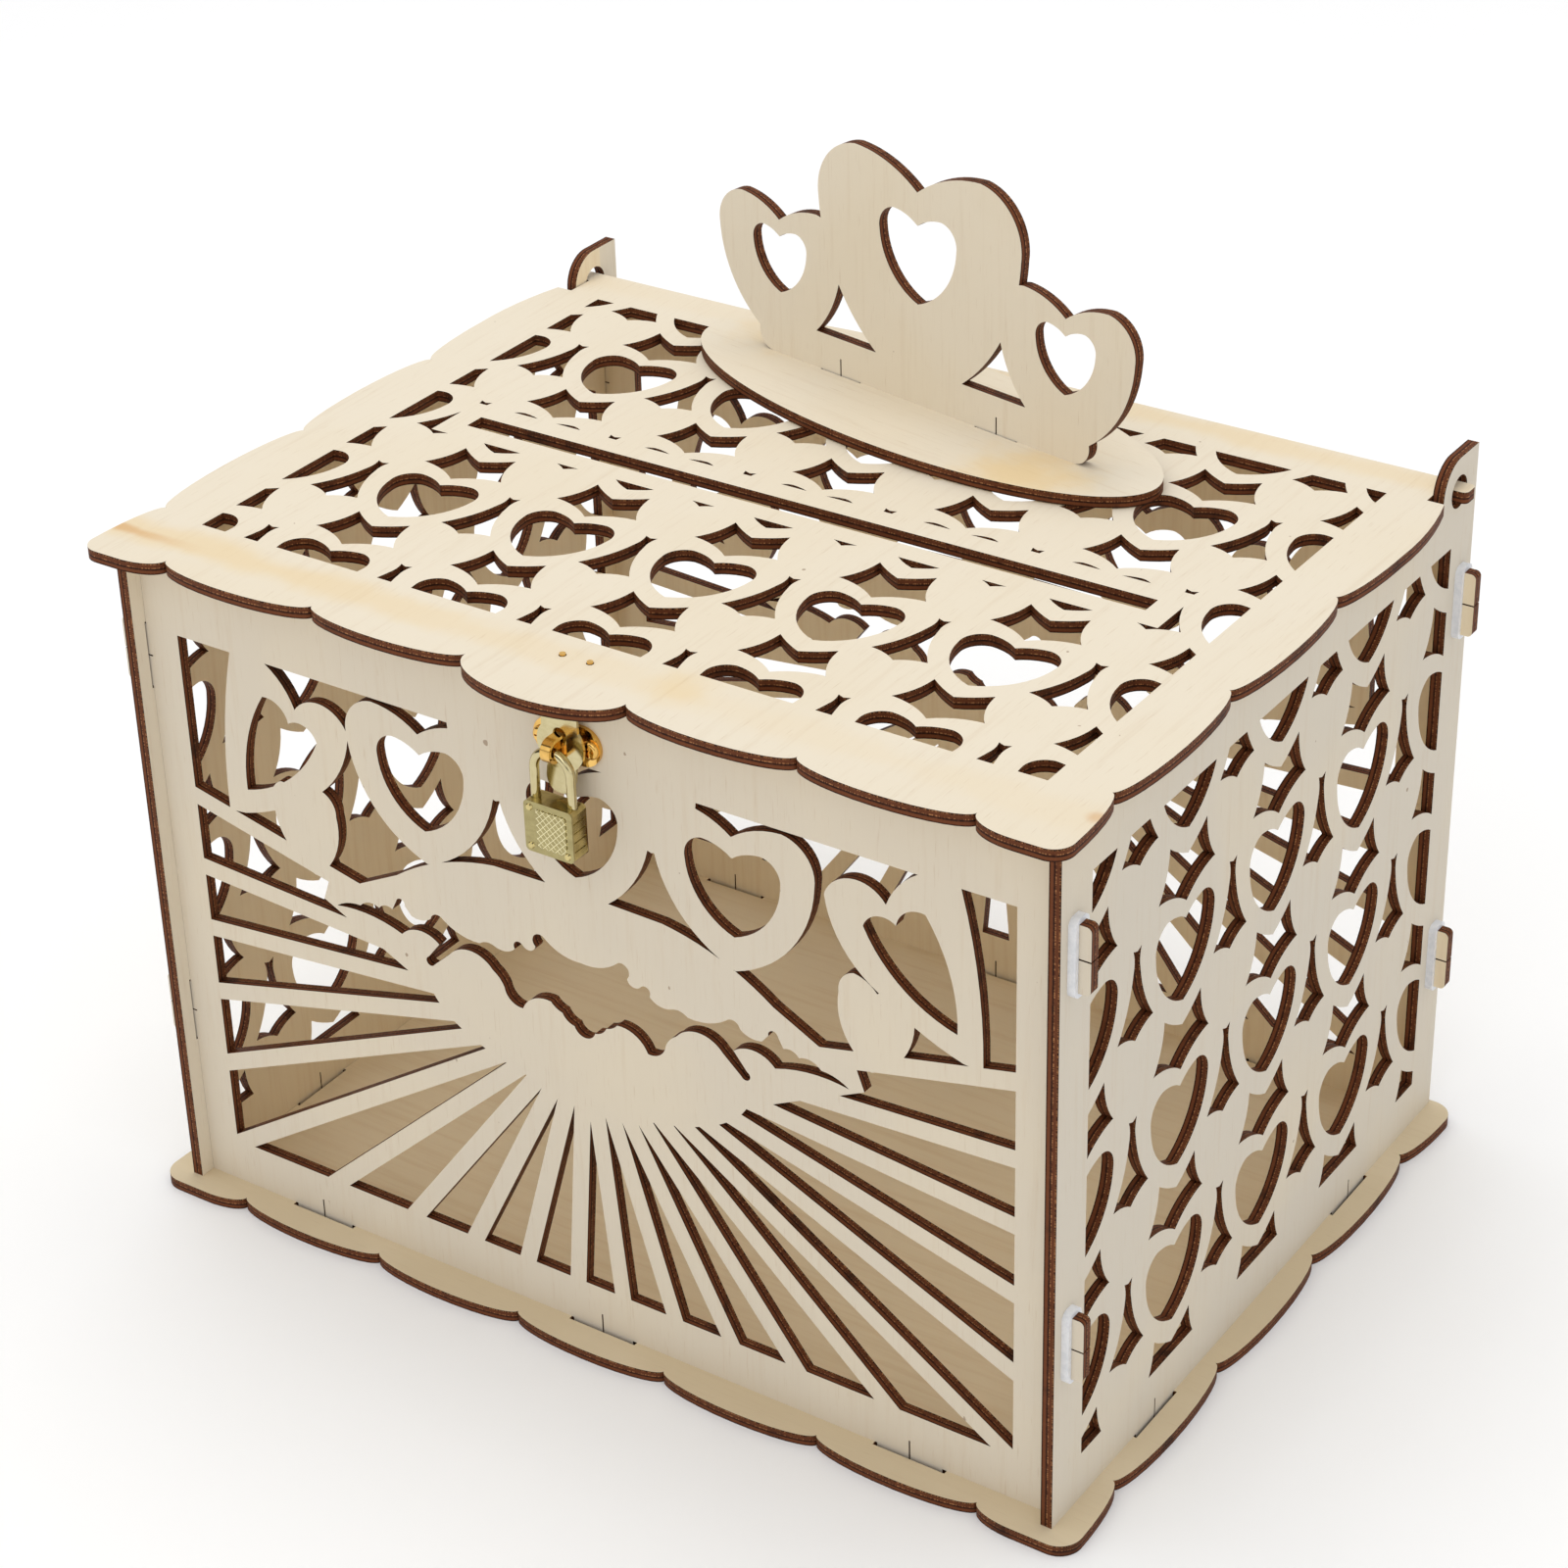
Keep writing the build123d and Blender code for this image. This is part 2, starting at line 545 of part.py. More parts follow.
with BuildPart() as padlock_back_cover:
    with BuildSketch(LOCK.offset(-LOCK_CORE / 2)):
        RectangleRounded(LOCK_WIDE, LOCK_TALL, 1.2)
    extrude(amount=-COVER)

with BuildPart() as padlock_rivets:
    with BuildSketch(LOCK.offset(LOCK_CORE / 2)):
        with Locations((-5.1, 5.0), (-5.1, -5.0), (5.1, -5.0)):
            Circle(0.5)
    extrude(amount=COVER)
    with BuildSketch(LOCK.offset(LOCK_CORE / 2 + COVER)):
        with Locations((-5.1, 5.0), (-5.1, -5.0), (5.1, -5.0)):
            Circle(0.9)
    extrude(amount=0.4, taper=30)

with BuildPart() as padlock_shackle:
    with BuildLine(Plane((HASP_X, FRONT + WIRE_Y, FLOOR), x_dir=(1, 0, 0), z_dir=(0, -1, 0))):
        Line((-LEG, LOCK_TOP - LONG_LEG), (-LEG, CROWN_Z - LEG))
        ThreePointArc((-LEG, CROWN_Z - LEG), (0, CROWN_Z), (LEG, CROWN_Z - LEG))
        Line((LEG, CROWN_Z - LEG), (LEG, LOCK_TOP - SHORT_LEG))
    with BuildSketch(Plane((HASP_X - LEG, FRONT + WIRE_Y, FLOOR + LOCK_TOP - LONG_LEG))):
        Circle(WIRE / 2)
    sweep()

with BuildPart() as padlock_plug:
    with BuildSketch(BODY_FOOT.offset(-0.2)):
        Circle(1.7)
        Rectangle(0.7, 2.2, mode=Mode.SUBTRACT)
    extrude(amount=5)

# ---- sign ----------------------------------------------------------------------
SIGN_FLAT = Plane((SIGN_X, FRONT + SIGN_Y, FLOOR + SIGN_Z)).rotated((0, 0, SIGN_YAW))
SIGN_UP = Plane(SIGN_FLAT.origin + Vector(0, 0, PLY), x_dir=SIGN_FLAT.x_dir,
                z_dir=-SIGN_FLAT.y_dir)
SIGN_TABS = (-27.0, 26.0)
RAIL_LONG = 112.0
RAIL_TALL = 10.0
TIP_Z = 2.0            # points of the hearts, sunk in the rail
# Each heart: middle, size, then size and foot of the heart cut out of it.
SIGN_HEARTS = ((-48.0, 1.6, 0.7, 17.0), (0.0, 2.5, 0.95, 27.0), (48.0, 1.6, 0.7, 17.0))

with BuildSketch() as heart_trio:
    with Locations((0, RAIL_TALL / 2)):
        SlotOverall(RAIL_LONG, RAIL_TALL)
    for middle, size, inner_size, inner_foot in SIGN_HEARTS:
        with Locations((middle, TIP_Z)):
            add(heart(HEART, size))
    for middle, size, inner_size, inner_foot in SIGN_HEARTS:
        with Locations((middle, inner_foot)):
            add(heart(HEART, inner_size), mode=Mode.SUBTRACT)
    # the two feet with a saw slot in each
    with Locations(*[(x, 0.75) for x in SIGN_TABS]):
        Rectangle(13, 7.5)
    with Locations(*[(x, 0) for x in SIGN_TABS]):
        Rectangle(KERF, 3 * PLY, mode=Mode.SUBTRACT)

with BuildPart() as sign_base:
    with BuildSketch(SIGN_FLAT):
        Ellipse(75, 26.5)
        with Locations(*[(x, 0) for x in SIGN_TABS]):
            Rectangle(14, PLY + 0.6, mode=Mode.SUBTRACT)
    extrude(amount=PLY)

with BuildPart() as sign_hearts:
    with BuildSketch(SIGN_UP.offset(-PLY / 2)):
        add(heart_trio.sketch)
    extrude(amount=PLY)

# ---- names and files -------------------------------------------------------------
pieces = {
    "base_plate": base_plate.part,
    "front_panel": front_panel.part,
    "back_panel": back_panel.part,
    "left_panel": left_panel.part,
    "right_panel": right_panel.part,
    "lid_panel": lid_panel.part,
    "hasp_hinge_plate": hasp_hinge_plate.part,
    "hasp_pin": hasp_pin.part,
    "hasp_leaf": hasp_leaf.part,
    "hasp_screw_left": hasp_screw_left,
    "hasp_screw_right": hasp_screw_right,
    "staple_plate": staple_plate.part,
    "staple_loop": staple_loop.part,
    "staple_screw_left": staple_screw_left,
    "staple_screw_right": staple_screw_right,
    "padlock_body": padlock_body.part,
    "padlock_front_cover": padlock_front_cover.part,
    "padlock_back_cover": padlock_back_cover.part,
    "padlock_rivets": padlock_rivets.part,
    "padlock_shackle": padlock_shackle.part,
    "padlock_plug": padlock_plug.part,
    "sign_base": sign_base.part,
    "sign_hearts": sign_hearts.part,
}
pieces.update(rings)

os.makedirs("parts", exist_ok=True)
for name, part in pieces.items():
    part.label = name
    export_step(part, f"parts/{name}.step")
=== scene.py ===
import math

import bpy
from mathutils import Matrix, Vector


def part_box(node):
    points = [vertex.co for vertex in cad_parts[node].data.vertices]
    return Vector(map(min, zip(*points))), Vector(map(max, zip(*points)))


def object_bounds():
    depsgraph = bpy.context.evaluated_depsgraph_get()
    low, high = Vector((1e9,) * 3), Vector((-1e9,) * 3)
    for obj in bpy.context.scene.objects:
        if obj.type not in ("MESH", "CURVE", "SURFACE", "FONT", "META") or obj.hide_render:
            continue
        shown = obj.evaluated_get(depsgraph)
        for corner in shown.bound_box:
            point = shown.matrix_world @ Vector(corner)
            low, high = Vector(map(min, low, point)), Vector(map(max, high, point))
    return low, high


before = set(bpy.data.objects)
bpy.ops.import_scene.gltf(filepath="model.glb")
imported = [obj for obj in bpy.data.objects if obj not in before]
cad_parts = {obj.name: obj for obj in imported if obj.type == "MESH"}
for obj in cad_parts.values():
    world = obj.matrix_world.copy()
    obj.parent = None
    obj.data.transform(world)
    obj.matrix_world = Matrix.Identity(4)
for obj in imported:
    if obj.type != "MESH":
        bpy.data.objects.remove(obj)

CAD_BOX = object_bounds()
MM = 0.001
PLY = 3.0              # thickness of every sheet, in mm


# ---- small node-graph helper ------------------------------------------------
class Graph:
    """Builds a node material from short calls; numbers or sockets go in anywhere."""

    def __init__(self, name):
        self.material = bpy.data.materials.new(name)
        self.material.use_nodes = True
        self.tree = self.material.node_tree
        self.tree.nodes.clear()
        self.output = self.tree.nodes.new("ShaderNodeOutputMaterial")
        self.shader = self.tree.nodes.new("ShaderNodeBsdfPrincipled")
        self.tree.links.new(self.shader.outputs[0], self.output.inputs[0])
        self.coords = self.tree.nodes.new("ShaderNodeTexCoord")
        self.position = self.coords.outputs["Object"]
        self.normal = self.coords.outputs["Normal"]

    def put(self, socket, value):
        if isinstance(value, bpy.types.NodeSocket):
            self.tree.links.new(value, socket)
        elif value is not None:
            if hasattr(socket.default_value, "__len__") and not hasattr(value, "__len__"):
                value = [value] * len(socket.default_value)
            if hasattr(value, "__len__") and len(socket.default_value) == 4 and len(value) == 3:
                value = (*value, 1.0)
            socket.default_value = value

    def math(self, operation, a, b=None, c=None, clamp=False):
        node = self.tree.nodes.new("ShaderNodeMath")
        node.operation = operation
        node.use_clamp = clamp
        for socket, value in zip(node.inputs, (a, b, c)):
            self.put(socket, value)
        return node.outputs[0]

    def vector(self, operation, a, b=None, scale=None):
        node = self.tree.nodes.new("ShaderNodeVectorMath")
        node.operation = operation
        self.put(node.inputs[0], a)
        if b is not None:
            self.put(node.inputs[1], b)
        if scale is not None:
            self.put(node.inputs["Scale"], scale)
        return node.outputs["Value"] if operation == "DOT_PRODUCT" else node.outputs[0]

    def noise(self, position, scale, detail=3.0, roughness=0.55, distortion=0.0):
        node = self.tree.nodes.new("ShaderNodeTexNoise")
        self.put(node.inputs["Vector"], position)
        self.put(node.inputs["Scale"], scale)
        self.put(node.inputs["Detail"], detail)
        self.put(node.inputs["Roughness"], roughness)
        self.put(node.inputs["Distortion"], distortion)
        return node.outputs["Fac"]

    def millimetres(self):
        return self.vector("SCALE", self.position, scale=1 / MM)

    def distance(self, value, place):
        """How far a coordinate is from a place, whichever side it is on."""
        return self.math("ABSOLUTE", self.math("SUBTRACT", value, place))

    def stretch(self, position, factors):
        return self.vector("MULTIPLY", position, factors)

    def band(self, value, low, high, out_low=0.0, out_high=1.0):
        node = self.tree.nodes.new("ShaderNodeMapRange")
        node.interpolation_type = "SMOOTHSTEP"
        for name, item in (("Value", value), ("From Min", low), ("From Max", high),
                           ("To Min", out_low), ("To Max", out_high)):
            self.put(node.inputs[name], item)
        return node.outputs["Result"]

    def ramp(self, value, stops):
        node = self.tree.nodes.new("ShaderNodeValToRGB")
        elements = node.color_ramp.elements
        while len(elements) < len(stops):
            elements.new(0.5)
        for element, (place, colour) in zip(elements, stops):
            element.position = place
            element.color = (*colour, 1.0)
        self.put(node.inputs[0], value)
        return node.outputs[0]

    def mix(self, factor, a, b, blend="MIX"):
        node = self.tree.nodes.new("ShaderNodeMix")
        node.data_type = "RGBA"
        node.blend_type = blend
        self.put(node.inputs["Factor"], factor)
        self.put(node.inputs[6], a)
        self.put(node.inputs[7], b)
        return node.outputs[2]

    def split(self, vector):
        node = self.tree.nodes.new("ShaderNodeSeparateXYZ")
        self.put(node.inputs[0], vector)
        return node.outputs

    def turn_z(self, vector, degrees, centre=(0, 0, 0)):
        node = self.tree.nodes.new("ShaderNodeVectorRotate")
        node.rotation_type = "Z_AXIS"
        self.put(node.inputs["Vector"], vector)
        self.put(node.inputs["Center"], centre)
        self.put(node.inputs["Angle"], math.radians(degrees))
        return node.outputs[0]

    def bump(self, height, strength, distance=0.0004):
        node = self.tree.nodes.new("ShaderNodeBump")
        self.put(node.inputs["Height"], height)
        self.put(node.inputs["Strength"], strength)
        self.put(node.inputs["Distance"], distance)
        self.put(self.shader.inputs["Normal"], node.outputs[0])

    def shade(self, **values):
        for name, value in values.items():
            self.put(self.shader.inputs[name.replace("_", " ")], value)


# ---- plywood -------------------------------------------------------------------
# Middle and half length, in mm, of the room between the front and back walls, where faces that
# look into the box get painted interior light.
ROOM_Y = (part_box("front_panel")[1][1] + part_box("back_panel")[0][1]) / 2 / MM
ROOM_HALF = (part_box("back_panel")[0][1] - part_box("front_panel")[1][1]) / 2 / MM
ROOM_WIDE = 127.0      # half the distance between the side walls, in mm
ROOM_FADE = 0.4        # width of the change of tone at the walls, in mm

# Birch: the usual tone, the warm patches in it, and darker tones that paint shade on the base,
# front and right sheets.
CREAM = (0.765, 0.685, 0.55)
CREAM_WARM = (0.74, 0.64, 0.475)
RIGHT_PAINTED_SHADE = (0.655, 0.595, 0.50)
BASE_PAINTED_SHADE = (0.63, 0.52, 0.35)
FRONT_PAINTED_SHADE = (0.665, 0.59, 0.475)
# Painted interior light and shade: faces that look into the box get a yellower tone, lighter than
# the outer faces, in place of how the inside is lit; the darker one follows the grain.
INSIDE_PAINTED_LIGHT = (0.84, 0.71, 0.50)         # faces that look into the box
INSIDE_FIBRE_PAINTED_LIGHT = (0.74, 0.57, 0.36)
FIBRE = (0.56, 0.42, 0.27)
FLECK = (0.50, 0.36, 0.22)
SPECK = (0.22, 0.12, 0.06)
# Burnt edge from the lower face to the upper one: veneers with dark glue lines between.
EDGE_STOPS = (
    (0.00, (0.010, 0.004, 0.002)),
    (0.07, (0.030, 0.010, 0.005)),
    (0.13, (0.140, 0.043, 0.016)),
    (0.32, (0.150, 0.046, 0.017)),
    (0.38, (0.040, 0.013, 0.006)),
    (0.46, (0.014, 0.005, 0.003)),
    (0.55, (0.090, 0.027, 0.011)),
    (0.78, (0.130, 0.040, 0.015)),
    (0.88, (0.045, 0.014, 0.006)),
    (1.00, (0.012, 0.005, 0.003)),
)
EDGE_STREAK = (0.17, 0.055, 0.024)
CHAR = (0.018, 0.009, 0.006)
# Painted glint: copper-coloured highlights painted along the edge's glue lines.
PAINTED_GLINT_COPPER = (0.52, 0.23, 0.09)
SCORCH = (0.76, 0.55, 0.25)
SINGED = (0.62, 0.33, 0.11)


def painted_inside_area(g, parts, floor):
    """Mask for painted interior light: 1 between the front and back walls, and for the floor also
    between the side walls.
    """
    room = g.band(g.distance(parts[1], ROOM_Y), ROOM_HALF, ROOM_HALF + ROOM_FADE, 1.0, 0.0)
    if floor:
        across = g.band(g.math("ABSOLUTE", parts[0]), ROOM_WIDE - ROOM_FADE, ROOM_WIDE, 1.0, 0.0)
        room = g.math("MULTIPLY", room, across)
    return room


def plywood(name, axis, low, grain, inside=None, room="walls", yaw=0.0, stains=(),
            tone=CREAM):
    """Pale birch faces across `axis`, burnt layered edges everywhere else.

    low is the coordinate of the sheet's lower face in mm, grain the stretch of the
    wood grain, inside the sign of the face that looks into the box (or None). That face
    gets painted interior light, a lighter tan, between the front and back walls ("walls"),
    between all four walls ("floor") or all over (room None)."""
    g = Graph(name)
    mm = g.millimetres()
    normal = g.normal
    if yaw:
        mm = g.turn_z(mm, -yaw)
        normal = g.turn_z(normal, -yaw)
    parts = g.split(mm)
    facing = g.split(normal)["XYZ".index(axis)]
    depth = g.math("DIVIDE", g.math("SUBTRACT", parts["XYZ".index(axis)], low), PLY)
    face = g.band(g.math("ABSOLUTE", facing), 0.6, 0.8)

    # face wood
    # tone is the sheet's face colour; for the base, front and right sheets it is darker as painted
    # shade.
    along = g.stretch(mm, grain)
    fibre = g.noise(along, 0.55, 5.0, 0.62)
    fleck = g.noise(along, 2.6, 2.0, 0.5)
    cloud = g.noise(mm, 0.018, 3.0, 0.5)
    warm = g.mix(0.5, tone, CREAM_WARM)
    wood = g.mix(g.band(cloud, 0.40, 0.72, 0.0, 0.8), tone, warm)
    wood = g.mix(g.band(fibre, 0.50, 0.78, 0.0, 0.34), wood, g.mix(0.6, wood, FIBRE))
    wood = g.mix(g.band(fleck, 0.62, 0.80, 0.0, 0.34), wood, FLECK)
    speck = g.noise(mm, 0.33, 1.0, 0.4)
    wood = g.mix(g.band(speck, 0.82, 0.84, 0.0, 0.6), wood, SPECK)
    # Faces that look into the box: painted interior light, a lighter yellower tone standing in for
    # the light inside.
    if inside is not None:
        painted_inside_mask = g.band(g.math("MULTIPLY", facing, float(inside)), 0.5, 0.7)
        painted_inside_tone = g.mix(g.band(fibre, 0.42, 0.75, 0.0, 0.5), INSIDE_PAINTED_LIGHT, INSIDE_FIBRE_PAINTED_LIGHT)
        if room:
            painted_inside_mask = g.math("MULTIPLY", painted_inside_mask, painted_inside_area(g, parts, room == "floor"))
        wood = g.mix(painted_inside_mask, wood, painted_inside_tone)
    for stain in stains:
        wood = stain(g, wood, parts, mm)

    # burnt edge
    wobble = g.noise(mm, 0.25, 2.0)
    layer = g.math("ADD", depth, g.math("MULTIPLY", g.math("SUBTRACT", wobble, 0.5), 0.06))
    burnt = g.ramp(layer, EDGE_STOPS)
    squash = {"X": (0.10, 1, 1), "Y": (1, 0.10, 1), "Z": (1, 1, 0.10)}[axis]
    streak = g.noise(g.stretch(mm, squash), 1.9, 3.0, 0.65)
    burnt = g.mix(g.band(streak, 0.42, 0.72, 0.0, 0.6), burnt,
                  g.mix(0.5, burnt, EDGE_STREAK))
    # Painted glint: copper highlight colour laid into the edge colour along the glue lines, in
    # patches.
    glint = g.noise(g.stretch(mm, squash), 3.4, 2.0, 0.7)
    middle_line = g.band(g.distance(layer, 0.56), 0.02, 0.07, 1.0, 0.0)
    upper_line = g.band(g.distance(layer, 0.90), 0.02, 0.08, 1.0, 0.0)
    near_glue = g.math("MAXIMUM", middle_line, upper_line)
    glint = g.math("MULTIPLY", g.band(glint, 0.46, 0.62), near_glue)
    burnt = g.mix(g.math("MULTIPLY", glint, 0.75), burnt, PAINTED_GLINT_COPPER)
    char = g.noise(mm, 0.085, 3.0, 0.6)
    burnt = g.mix(g.band(char, 0.56, 0.74, 0.0, 0.65), burnt, CHAR)

    colour = g.mix(face, burnt, wood)
    rough = g.math("ADD", g.math("MULTIPLY", face, 0.16),
                   g.math("ADD", 0.50, g.math("MULTIPLY", fibre, 0.10)))
    g.shade(Base_Color=colour, Roughness=rough)
    g.shader.inputs["Specular IOR Level"].default_value = 0.08
    height = g.mix(face, streak, fibre)
    g.bump(height, 0.22, 0.00025)
    return g.material


def strip_stain(axis_index, middle, half, centre_along, reach, strength, colour=SCORCH,
                far_end=0.28):
    """A warm scorch streak: a soft stripe across one coordinate, fading along the other.

    far_end is how much of it is left beyond its reach."""
    def paint(g, wood, parts, mm):
        ripple = g.noise(mm, 0.05, 3.0, 0.6)
        off = g.distance(parts[axis_index], middle)
        off = g.math("ADD", off, g.math("MULTIPLY", g.math("SUBTRACT", ripple, 0.5), half * 1.4))
        stripe = g.band(off, half * 0.15, half, 1.0, 0.0)
        along = g.distance(parts[1 - axis_index], centre_along)
        fade = g.band(along, 0.0, reach, 1.0, far_end)
        amount = g.math("MULTIPLY", g.math("MULTIPLY", stripe, fade), strength)
        return g.mix(amount, wood, colour)
    return paint


def spot_stain(x, y, radius, strength, colour=SCORCH):
    """A round scorch mark at one place of a horizontal sheet."""
    def paint(g, wood, parts, mm):
        dx = g.math("SUBTRACT", parts[0], x)
        dy = g.math("SUBTRACT", parts[1], y)
        square = g.math("ADD", g.math("MULTIPLY", dx, dx), g.math("MULTIPLY", dy, dy))
        gap = g.math("SQRT", square)
        ripple = g.noise(mm, 0.12, 2.0)
        gap = g.math("ADD", gap, g.math("MULTIPLY", g.math("SUBTRACT", ripple, 0.5), radius * 0.9))
        return g.mix(g.band(gap, radius * 0.1, radius, strength, 0.0), wood, colour)
    return paint


# ---- metal and silicone ------------------------------------------------------------
# Knurled field on the padlock's front, in mm: sideways shift, half width and height, and
# how fast its diamonds repeat.
HATCH_SHIFT = 0.9
HATCH_WIDE = 4.4
HATCH_TALL = 5.2
HATCH_STEP = 3.6
# Colour of the knurl's diamond lines: a painted highlight.
KNURL_PAINTED_HIGHLIGHT = (0.86, 0.78, 0.46)


def metal(name, colour, dark, rough, brushed=(1, 1, 1), scale=1.2, bump=0.08, worn=0.35,
          hatch=False):
    """Plated metal with worn patches, fine brushing and optional diamond knurling."""
    g = Graph(name)
    mm = g.millimetres()
    patch = g.noise(mm, 0.35, 3.0, 0.6)
    brush = g.noise(g.stretch(mm, brushed), scale, 3.0, 0.6)
    tone = g.mix(g.band(patch, 0.35, 0.70, 0.0, worn), colour, dark)
    tone = g.mix(g.band(brush, 0.45, 0.75, 0.0, 0.30), tone, dark)
    height = brush
    if hatch:
        low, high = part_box("padlock_front_cover")
        parts = g.split(mm)
        across = g.math("SUBTRACT", parts[0], (low[0] + high[0]) / 2 / MM + HATCH_SHIFT)
        upward = g.math("SUBTRACT", parts[2], (low[2] + high[2]) / 2 / MM)
        lines = []
        for way in ("ADD", "SUBTRACT"):
            slant = g.math(way, across, upward)
            lines.append(g.band(g.math("SINE", g.math("MULTIPLY", slant, HATCH_STEP)),
                                0.70, 0.95))
        net = g.math("MAXIMUM", *lines)
        limits = ((across, HATCH_WIDE), (upward, HATCH_TALL))
        for coordinate, half in limits:
            inside = g.band(g.math("ABSOLUTE", coordinate), half - 0.2, half, 1.0, 0.0)
            net = g.math("MULTIPLY", net, inside)
        # Diamond lines painted in a highlight colour: painted highlight on the knurl.
        tone = g.mix(g.math("MULTIPLY", net, 0.85), tone, KNURL_PAINTED_HIGHLIGHT)
        height = g.math("ADD", g.math("MULTIPLY", brush, 0.2), net)
        bump = 0.7
    g.shade(Base_Color=tone, Metallic=1.0,
            Roughness=g.math("ADD", rough, g.math("MULTIPLY", patch, 0.10)))
    g.bump(height, bump, 0.00012)
    return g.material


def silicone(name):
    """Milky clear rubber with a slightly uneven cloudiness."""
    g = Graph(name)
    mm = g.millimetres()
    haze = g.noise(mm, 0.6, 3.0, 0.55)
    tone = g.mix(g.band(haze, 0.3, 0.7), (0.80, 0.81, 0.84), (0.70, 0.72, 0.76))
    g.shade(Base_Color=tone, Roughness=g.math("ADD", 0.22, g.math("MULTIPLY", haze, 0.15)))
    g.shader.inputs["IOR"].default_value = 1.41
    g.bump(haze, 0.05, 0.0002)
    return g.material


def wear(node, material):
    """Give a CAD node this material in every slot."""
    data = bpy.data.objects[node].data
    if data.materials:
        for index in range(len(data.materials)):
            data.materials[index] = material
    else:
        data.materials.append(material)


def low_corner(node, axis):
    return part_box(node)[0]["XYZ".index(axis)] / MM


# Stretch of the wood along the grain, for grain that runs along each axis.
GRAIN_X = (0.05, 1, 1)
GRAIN_Y = (1, 0.05, 1)
GRAIN_Z = (1, 1, 0.05)

# Front edge of the side walls, in mm, from the walls themselves.
FRONT = low_corner("left_panel", "Y")
LID_STAINS = (
    strip_stain(1, FRONT + 7.5, 8.0, -105.0, 150.0, 0.42),
    strip_stain(1, FRONT + 187.0, 7.0, 60.0, 160.0, 0.34),
    strip_stain(1, FRONT + 6.0, 2.6, -134.0, 30.0, 0.60, SINGED, 0.0),
    spot_stain(133.0, FRONT + 9.0, 3.5, 0.5, SINGED),
    spot_stain(28.0, FRONT + 9.0, 12.0, 0.35),
)
SIGN_YAW = -11.0       # degrees that the sign is turned on the lid


def turned_middle(node):
    """Middle of a piece of the sign, in mm, with the sign's turn taken out."""
    low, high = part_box(node)
    middle = Vector((low[0] + high[0], low[1] + high[1], 0)) / 2 / MM
    return Matrix.Rotation(math.radians(-SIGN_YAW), 3, "Z") @ middle


FOOT = turned_middle("sign_base")
SIGN_STAINS = (spot_stain(FOOT.x + 46.0, FOOT.y - 14.0, 22.0, 0.6),
               spot_stain(FOOT.x - 58.0, FOOT.y + 8.0, 18.0, 0.4))

# The base, front and right sheets take darker tones: painted shade on the sides that face away
# from the light.
ply = {
    "base_plate": plywood("ply_base", "Z", low_corner("base_plate", "Z"), GRAIN_X, 1, "floor",
                          tone=BASE_PAINTED_SHADE),
    "front_panel": plywood("ply_front", "Y", low_corner("front_panel", "Y"), GRAIN_Z, 1,
                           tone=FRONT_PAINTED_SHADE),
    "back_panel": plywood("ply_back", "Y", low_corner("back_panel", "Y"), GRAIN_Z, -1),
    "left_panel": plywood("ply_left", "X", low_corner("left_panel", "X"), GRAIN_Z, 1),
    "right_panel": plywood("ply_right", "X", low_corner("right_panel", "X"), GRAIN_Z, -1,
                           tone=RIGHT_PAINTED_SHADE),
    "lid_panel": plywood("ply_lid", "Z", low_corner("lid_panel", "Z"), GRAIN_Y, -1, None,
                         stains=LID_STAINS),
    "sign_base": plywood("ply_sign_base", "Z", low_corner("sign_base", "Z"), GRAIN_X,
                         yaw=SIGN_YAW, stains=SIGN_STAINS),
}
for node, material in ply.items():
    wear(node, material)

hearts_face = turned_middle("sign_hearts").y - PLY / 2
wear("sign_hearts", plywood("ply_sign_hearts", "Y", hearts_face, GRAIN_Z, yaw=SIGN_YAW))

gold = metal("gold_plate", (0.86, 0.54, 0.16), (0.52, 0.26, 0.05), 0.05, (1, 1, 0.2))
olive = metal("olive_gold", (0.62, 0.54, 0.31), (0.46, 0.38, 0.18), 0.12, (0.2, 1, 1))
brass = metal("lock_brass", (0.66, 0.55, 0.25), (0.36, 0.28, 0.10), 0.12, (0.15, 1, 1))
laminate = metal("lock_laminate", (0.55, 0.45, 0.19), (0.22, 0.17, 0.06), 0.18, (0.1, 0.1, 1),
                 2.6, 0.3, worn=0.5)
knurl = metal("lock_knurl", (0.42, 0.36, 0.17), (0.26, 0.21, 0.09), 0.14, (0.15, 1, 1),
              hatch=True)
wire = metal("lock_wire", (0.62, 0.54, 0.31), (0.42, 0.34, 0.16), 0.04, (1, 1, 0.15), worn=0.2)

for node in ("staple_plate", "staple_loop", "staple_screw_left", "staple_screw_right",
             "hasp_screw_left", "hasp_screw_right"):
    wear(node, gold)
for node in ("hasp_leaf", "hasp_hinge_plate", "hasp_pin"):
    wear(node, olive)
for node in ("padlock_back_cover", "padlock_plug", "padlock_rivets"):
    wear(node, brass)
wear("padlock_body", laminate)
wear("padlock_front_cover", knurl)
wear("padlock_shackle", wire)
clear = silicone("silicone_ring")
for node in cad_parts:
    if node.startswith("ring_"):
        wear(node, clear)


# ---- stage, light and camera ----------------------------------------------------
FLOOR_SIZE = 12.0
WORLD_STRENGTH = 0.86
PANEL_SCALE = 1.6
PANEL_EDGE = (0.42, 0.52)
PANEL_LIGHT = (0.12, 1.25)       # dark and bright panels, in reflections only
KEY_POWER = 3
TOP_POWER = 10
AIM = (0, 0, 0.1)

CAMERA_PLACE = (0.45151, -0.65881, 0.57815)
CAMERA_AZIMUTH = 34.608
CAMERA_ELEVATION = 30.168
CAMERA_ROLL = -1.612
CAMERA_LENS = 85.386
SENSOR = 36.0


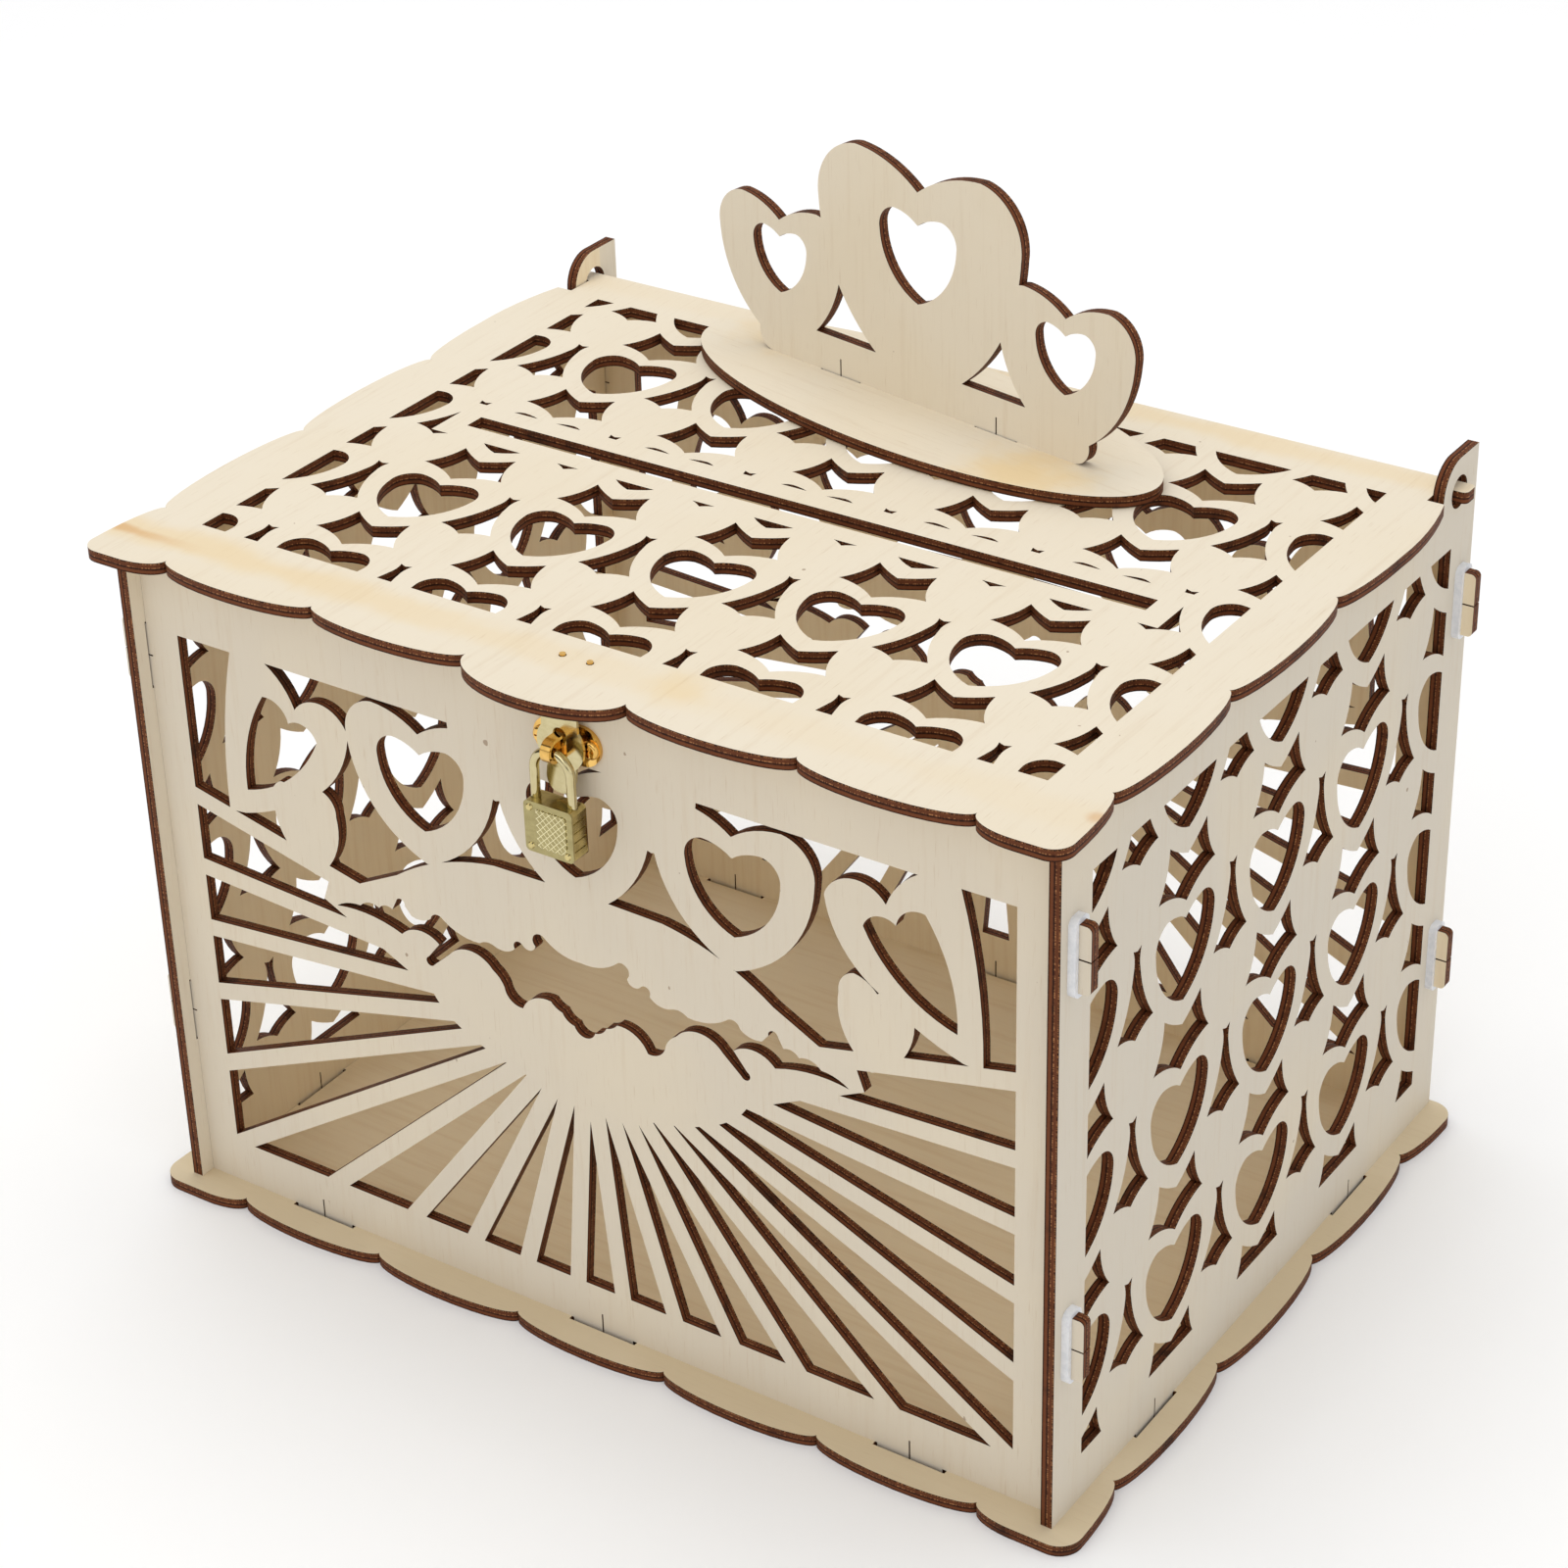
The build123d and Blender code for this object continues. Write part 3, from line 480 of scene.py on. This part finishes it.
def floor():
    g = Graph("floor_paper")
    mottle = g.noise(g.position, 6.0, 3.0)
    g.shade(Base_Color=g.mix(mottle, (0.95, 0.95, 0.95), (0.97, 0.97, 0.97)), Roughness=0.9)
    bpy.ops.mesh.primitive_plane_add(size=FLOOR_SIZE, location=(0, 0, CAD_BOX[0][2]))
    plane = bpy.context.object
    plane.name = "floor"
    plane.data.materials.append(g.material)


def area_light(name, place, target, size, power):
    data = bpy.data.lights.new(name, "AREA")
    data.shape = "DISK"
    data.size = size
    data.energy = power
    lamp = bpy.data.objects.new(name, data)
    bpy.context.collection.objects.link(lamp)
    lamp.location = place
    lamp.rotation_euler = (Vector(target) - Vector(place)).to_track_quat("-Z", "Y").to_euler()


def studio():
    """Even white light all round, with dark panels that only shiny parts reflect."""
    world = bpy.data.worlds.new("studio")
    world.use_nodes = True
    tree = world.node_tree
    back = tree.nodes["Background"]
    back.inputs["Strength"].default_value = WORLD_STRENGTH
    place = tree.nodes.new("ShaderNodeTexCoord")
    bands = tree.nodes.new("ShaderNodeTexNoise")
    bands.inputs["Scale"].default_value = PANEL_SCALE
    bands.inputs["Detail"].default_value = 0.0
    tree.links.new(place.outputs["Generated"], bands.inputs["Vector"])
    panels = tree.nodes.new("ShaderNodeMapRange")
    panels.inputs["From Min"].default_value = PANEL_EDGE[0]
    panels.inputs["From Max"].default_value = PANEL_EDGE[1]
    panels.inputs["To Min"].default_value = PANEL_LIGHT[0]
    panels.inputs["To Max"].default_value = PANEL_LIGHT[1]
    tree.links.new(bands.outputs["Fac"], panels.inputs["Value"])
    ray = tree.nodes.new("ShaderNodeLightPath")
    pick = tree.nodes.new("ShaderNodeMix")
    pick.inputs["A"].default_value = 1.0
    tree.links.new(ray.outputs["Is Glossy Ray"], pick.inputs["Factor"])
    tree.links.new(panels.outputs["Result"], pick.inputs["B"])
    tree.links.new(pick.outputs["Result"], back.inputs["Color"])
    bpy.context.scene.world = world


def camera():
    """Looks down on the box from the front right, with a slight roll."""
    azimuth = math.radians(CAMERA_AZIMUTH)
    elevation = math.radians(CAMERA_ELEVATION)
    roll = math.radians(CAMERA_ROLL)
    forward = Vector((-math.sin(azimuth) * math.cos(elevation),
                      math.cos(azimuth) * math.cos(elevation), -math.sin(elevation)))
    level = Vector((math.cos(azimuth), math.sin(azimuth), 0))
    rise = level.cross(forward)
    right = level * math.cos(roll) + rise * math.sin(roll)
    up = rise * math.cos(roll) - level * math.sin(roll)
    data = bpy.data.cameras.new("camera")
    data.sensor_width = SENSOR
    data.lens = CAMERA_LENS
    data.clip_end = 20.0
    eye = bpy.data.objects.new("camera", data)
    bpy.context.collection.objects.link(eye)
    place = Vector(CAMERA_PLACE)
    eye.matrix_world = Matrix((
        (right.x, up.x, -forward.x, place.x),
        (right.y, up.y, -forward.y, place.y),
        (right.z, up.z, -forward.z, place.z),
        (0, 0, 0, 1)))
    bpy.context.scene.camera = eye


floor()
area_light("key", (0.1, -1.4, 1.3), AIM, 1.4, KEY_POWER)
area_light("top", (-0.2, 0.2, 2.0), AIM, 1.6, TOP_POWER)
studio()
bpy.context.scene.view_settings.view_transform = "Standard"
camera()
